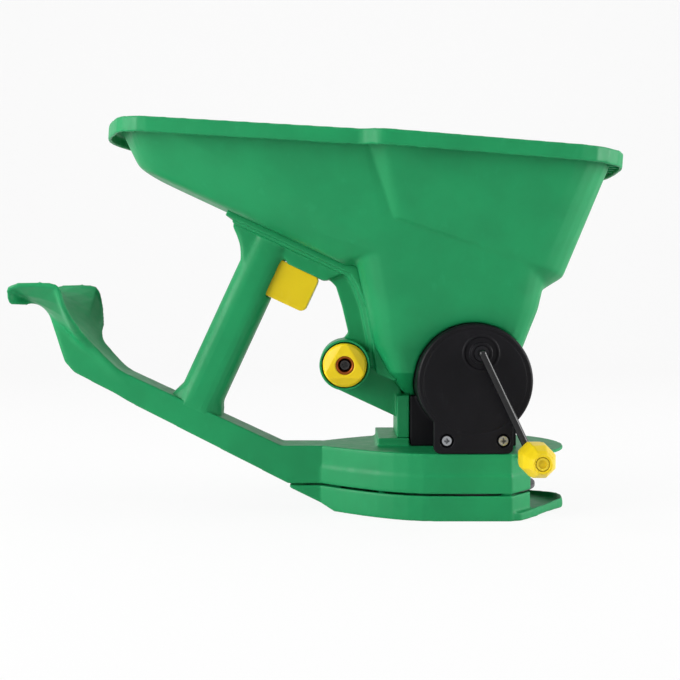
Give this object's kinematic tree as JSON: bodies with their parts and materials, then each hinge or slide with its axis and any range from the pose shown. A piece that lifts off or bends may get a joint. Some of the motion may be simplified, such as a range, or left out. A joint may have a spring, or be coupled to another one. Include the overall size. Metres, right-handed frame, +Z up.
{
  "type": "handheld seed spreader",
  "caption": "Handheld seed spreader: open hopper on a geared, crank-driven throwing disc, with a trigger gate, rate dial, grip and forearm cradle.",
  "frame": {"origin": "on the disc's upright axis, on the flat underside of the base pan", "axes": "+X the way the seed is thrown, +Y away from the crank's side, +Z up"},
  "size_m": [0.4396, 0.2048, 0.2857],
  "materials": {
    "green_plastic": "moulded, satin gloss",
    "yellow_plastic": "moulded, gloss",
    "black_plastic": "moulded, satin",
    "grey_plastic": "moulded, matte",
    "acetal": "moulded, natural",
    "steel": "zinc plated",
    "black_steel": "black coating",
    "bronze": "sintered bronze"
  },
  "bodies": {
    "body": {"hopper": "green_plastic", "base_frame": "green_plastic", "base_pan": "green_plastic", "handle_left_shell": "green_plastic", "handle_right_shell": "green_plastic", "gear_case": "black_plastic", "gear_cover": "black_plastic", "gear_cover_screws": "steel", "crank_bush": "black_plastic", "shaft_upper_bush": "bronze", "shaft_lower_bush": "bronze", "trigger_spring": "steel", "handle_screws": "steel", "handle_foot_screws": "steel", "neck_screws": "steel", "hopper_screws": "steel", "base_pan_screws": "steel", "case_screws": "steel"},
    "crank": {"crank_rod": "black_steel", "crank_gear": "acetal", "crank_clip": "steel", "knob_cap": "yellow_plastic"},
    "knob": {"crank_knob": "yellow_plastic"},
    "crown": {"crown_gear": "acetal", "crown_shaft": "steel", "agitator": "acetal"},
    "spinner": {"spinner_shaft": "steel", "spinner_pinion": "acetal", "spinner_disc": "grey_plastic", "spinner_pin": "steel"},
    "trigger": {"trigger": "yellow_plastic", "trigger_rod": "steel", "gate_plate": "steel"},
    "dial": {"rate_dial": "yellow_plastic", "dial_cam": "acetal", "dial_washer": "bronze", "dial_screw": "black_steel"}
  },
  "joints": [
    {"name": "crank_turn", "type": "hinge", "parent": "body", "child": "crank", "pos_m": [0.00391, -0.055, 0.11952], "axis": [0, 1, 0], "continuous": true},
    {"name": "knob_spin", "type": "hinge", "parent": "crank", "child": "knob", "pos_m": [0.03624, -0.09, 0.05019], "axis": [0, 1, 0], "continuous": true},
    {"name": "crown_turn", "type": "hinge", "parent": "body", "child": "crown", "pos_m": [0, -0.02, 0.0994], "axis": [0, 1, 0], "continuous": true},
    {"name": "spinner_turn", "type": "hinge", "parent": "body", "child": "spinner", "pos_m": [0, 0, 0.02], "axis": [0, 0, 1], "continuous": true},
    {"name": "trigger_pull", "type": "slide", "parent": "body", "child": "trigger", "axis": [-0.9063, 0, 0.4226], "range_m": [0, 0.007], "stiffness_N_per_m": 600, "springref_m": -0.004, "deforming": ["trigger_spring"]},
    {"name": "dial_turn", "type": "hinge", "parent": "body", "child": "dial", "pos_m": [-0.092, -0.02, 0.1095], "axis": [0, -1, 0], "range_deg": [0, 150]}
  ],
  "couplings": [
    {"joint": "crown_turn", "follows": "crank_turn", "ratio": -1.2778},
    {"joint": "spinner_turn", "follows": "crank_turn", "ratio": 5.1111}
  ]
}
